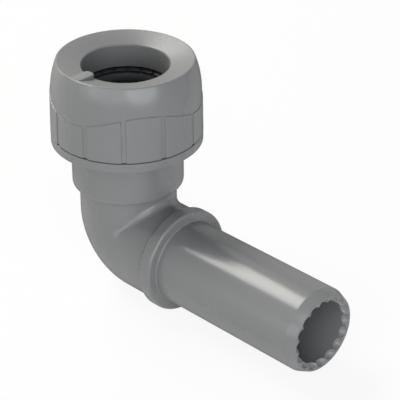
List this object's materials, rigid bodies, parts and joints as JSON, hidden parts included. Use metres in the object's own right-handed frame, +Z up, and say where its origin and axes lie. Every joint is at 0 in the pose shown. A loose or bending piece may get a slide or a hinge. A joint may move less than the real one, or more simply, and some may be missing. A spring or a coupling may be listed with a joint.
{
  "type": "push-fit spigot elbow",
  "caption": "Grey plastic push-fit elbow with a plain bevelled spigot on one arm and a domed, grip-padded socket cap on the other, with its seal and grab ring inside.",
  "frame": {"origin": "centre of the stop collar's front face, on the spigot's axis, where the spigot starts", "axes": "+X along the spigot to its tip, +Z up the pipe socket to its mouth, +Y to the left of the spigot seen from above"},
  "size_m": [0.0877, 0.0392, 0.0639],
  "materials": {
    "fitting_plastic": "satin moulded",
    "spacer_plastic": "moulded",
    "seal_rubber": "lubricated",
    "ring_steel": "spring temper"
  },
  "bodies": {
    "root": {"elbow_body": "fitting_plastic", "retaining_cap": "fitting_plastic", "o_ring": "seal_rubber", "spacer_washer": "spacer_plastic", "grab_ring": "ring_steel"}
  },
  "joints": []
}
